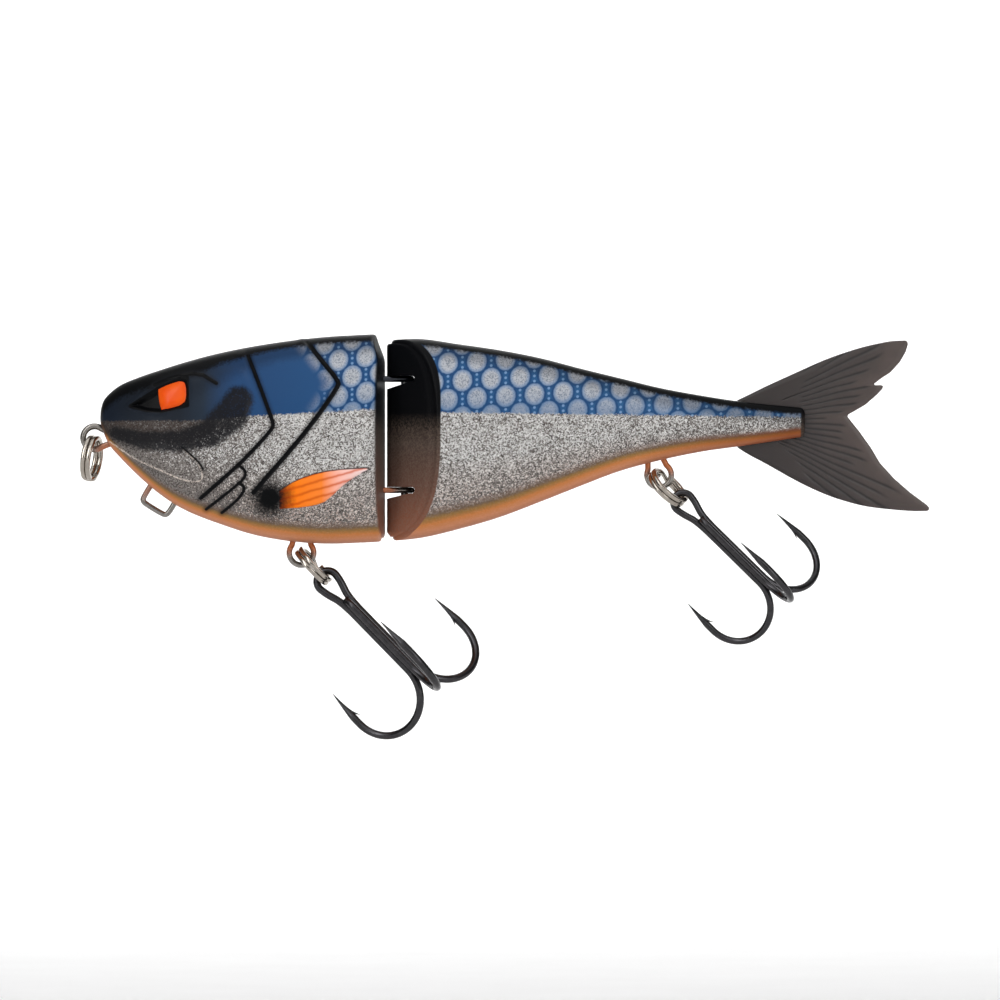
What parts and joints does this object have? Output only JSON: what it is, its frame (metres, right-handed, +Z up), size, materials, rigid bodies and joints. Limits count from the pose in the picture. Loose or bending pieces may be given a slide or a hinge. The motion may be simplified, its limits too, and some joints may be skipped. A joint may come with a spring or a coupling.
{
  "type": "jointed swimbait",
  "caption": "Two-section hard fishing lure with a pinned vertical body joint, soft forked tail fin, wire line tie, chin loop and treble hooks hung on split rings",
  "frame": {"origin": "centre of the nose wire eye (the line tie)", "axes": "+X runs to the tail, +Z is up to the back, +Y is the fish's right side"},
  "size_m": [0.1735, 0.034, 0.0832],
  "materials": {
    "painted_shell": "airbrushed and clear coated ABS, dark back, blue side with pale scales, silver flake flank and orange belly",
    "eye_lens": "clear domed lens over fluorescent orange",
    "stainless_wire": "bright drawn stainless wire",
    "nickel_ring": "nickel plated flattened spring wire",
    "black_nickel_hook": "black nickel plated carbon steel",
    "ballast": "plain cast metal, sealed inside",
    "soft_tail": "translucent brown soft plastic with fin rays"
  },
  "bodies": {
    "front_section": {"front_shell_left": "painted_shell", "front_shell_right": "painted_shell", "left_eye": "eye_lens", "right_eye": "eye_lens", "nose_eye": "stainless_wire", "chin_staple": "stainless_wire", "front_hook_hanger": "stainless_wire", "hinge_eye_upper": "stainless_wire", "hinge_eye_lower": "stainless_wire", "front_keel_weight": "ballast"},
    "rear_section": {"rear_shell_left": "painted_shell", "rear_shell_right": "painted_shell", "hinge_pin": "stainless_wire", "rear_hook_hanger": "stainless_wire", "rear_keel_weight": "ballast", "tail_root": "soft_tail"},
    "nose_ring": {"nose_split_ring": "nickel_ring"},
    "front_ring": {"front_split_ring": "nickel_ring"},
    "front_treble": {"front_double_hook": "black_nickel_hook", "front_single_hook": "black_nickel_hook"},
    "rear_ring": {"rear_split_ring": "nickel_ring"},
    "rear_treble": {"rear_double_hook": "black_nickel_hook", "rear_single_hook": "black_nickel_hook"},
    "tail": {"tail_blade": "soft_tail"}
  },
  "joints": [
    {"name": "body_joint", "type": "hinge", "parent": "front_section", "child": "rear_section", "pos_m": [0.0633, 0, 0], "axis": [0, 0, 1], "range_deg": [-40, 40]},
    {"name": "nose_ring_swing", "type": "hinge", "parent": "front_section", "child": "nose_ring", "pos_m": [0, 0, 0], "axis": [0, 1, 0], "range_deg": [-20, 80]},
    {"name": "front_ring_swing", "type": "hinge", "parent": "front_section", "child": "front_ring", "pos_m": [0.04225, 0, -0.0235], "axis": [0, 1, 0], "range_deg": [-15, 80]},
    {"name": "front_treble_swing", "type": "hinge", "parent": "front_ring", "child": "front_treble", "pos_m": [0.04472, 0, -0.02615], "axis": [-0.7286, 0.0872, -0.6794], "range_deg": [-49, 30]},
    {"name": "rear_ring_swing", "type": "hinge", "parent": "rear_section", "child": "rear_ring", "pos_m": [0.1153, 0, -0.0076], "axis": [0, 1, 0], "range_deg": [-10, 80]},
    {"name": "rear_treble_swing", "type": "hinge", "parent": "rear_ring", "child": "rear_treble", "pos_m": [0.11708, -0.00187, -0.01014], "axis": [-0.6448, 0.3256, -0.6915], "range_deg": [-44, 35]},
    {"name": "tail_flex", "type": "hinge", "parent": "rear_section", "child": "tail", "pos_m": [0.1472, 0, 0], "axis": [0, 0, 1], "range_deg": [-20, 20], "stiffness_Nm_per_rad": 0.0006}
  ]
}
